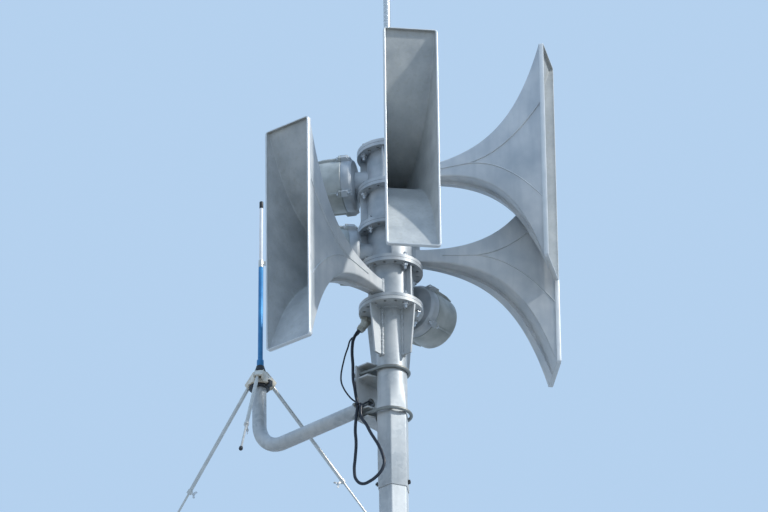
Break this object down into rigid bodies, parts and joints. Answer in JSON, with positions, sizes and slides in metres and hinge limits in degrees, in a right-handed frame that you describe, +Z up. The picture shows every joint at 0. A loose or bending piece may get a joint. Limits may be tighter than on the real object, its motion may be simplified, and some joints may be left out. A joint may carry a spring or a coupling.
{
  "type": "civil defense siren tower",
  "caption": "Mast-mounted siren: stacked flanged modules that carry slot-mouth exponential horns with drivers behind, a rod on top and a ground-plane antenna on a side arm.",
  "frame": {"origin": "centre of the base plate's underside, on the mast axis", "axes": "+Z up along the mast; +X to the right and +Y away from someone who looks at the pictured side"},
  "size_m": [1.1969, 1.0704, 4.765],
  "materials": {
    "galvanised_steel": "hot-dip galvanised, satin with faint spangle",
    "cast_aluminium": "fettled casting, satin",
    "horn_aluminium": "raw sand casting, satin outside and mottled inside",
    "bright_steel": "bright stainless steel",
    "cream_plastic": "moulded, slightly weathered",
    "blue_anodised": "blue anodised, satin",
    "antenna_aluminium": "drawn tube, satin",
    "white_plastic": "smooth sleeve",
    "black_plastic": "moulded, matte",
    "gland_metal": "nickel plated",
    "cable_jacket": "smooth dark jacket"
  },
  "bodies": {
    "root": {"base_plate": "galvanised_steel", "base_gussets": "galvanised_steel", "mast_tube": "galvanised_steel", "mast_sleeve": "galvanised_steel", "cross_bolt": "bright_steel", "head_flange": "galvanised_steel", "head_gussets": "galvanised_steel", "column_module_1": "cast_aluminium", "column_module_2": "cast_aluminium", "column_module_3": "cast_aluminium", "column_module_4": "cast_aluminium", "top_cap": "cast_aluminium", "lightning_rod": "bright_steel", "horn_1": "horn_aluminium", "horn_2": "horn_aluminium", "horn_3": "horn_aluminium", "horn_4": "horn_aluminium", "driver_ring_1": "cast_aluminium", "driver_ring_2": "cast_aluminium", "driver_ring_3": "cast_aluminium", "driver_ring_4": "cast_aluminium", "driver_cover_1": "cast_aluminium", "driver_cover_2": "cast_aluminium", "driver_cover_3": "cast_aluminium", "driver_cover_4": "cast_aluminium", "antenna_bracket": "galvanised_steel", "antenna_arm": "galvanised_steel", "upper_u_bolt": "bright_steel", "lower_u_bolt": "bright_steel", "arm_clamp": "black_plastic", "antenna_hub": "cream_plastic", "hub_collar": "black_plastic", "whip_lower": "blue_anodised", "whip_clamp": "antenna_aluminium", "whip_upper": "white_plastic", "whip_cap": "black_plastic", "radial_front": "antenna_aluminium", "radial_right": "antenna_aluminium", "radial_left": "antenna_aluminium", "cable_gland": "gland_metal", "cable_clip": "black_plastic", "speaker_cable": "cable_jacket", "antenna_cable": "cable_jacket"}
  },
  "joints": []
}
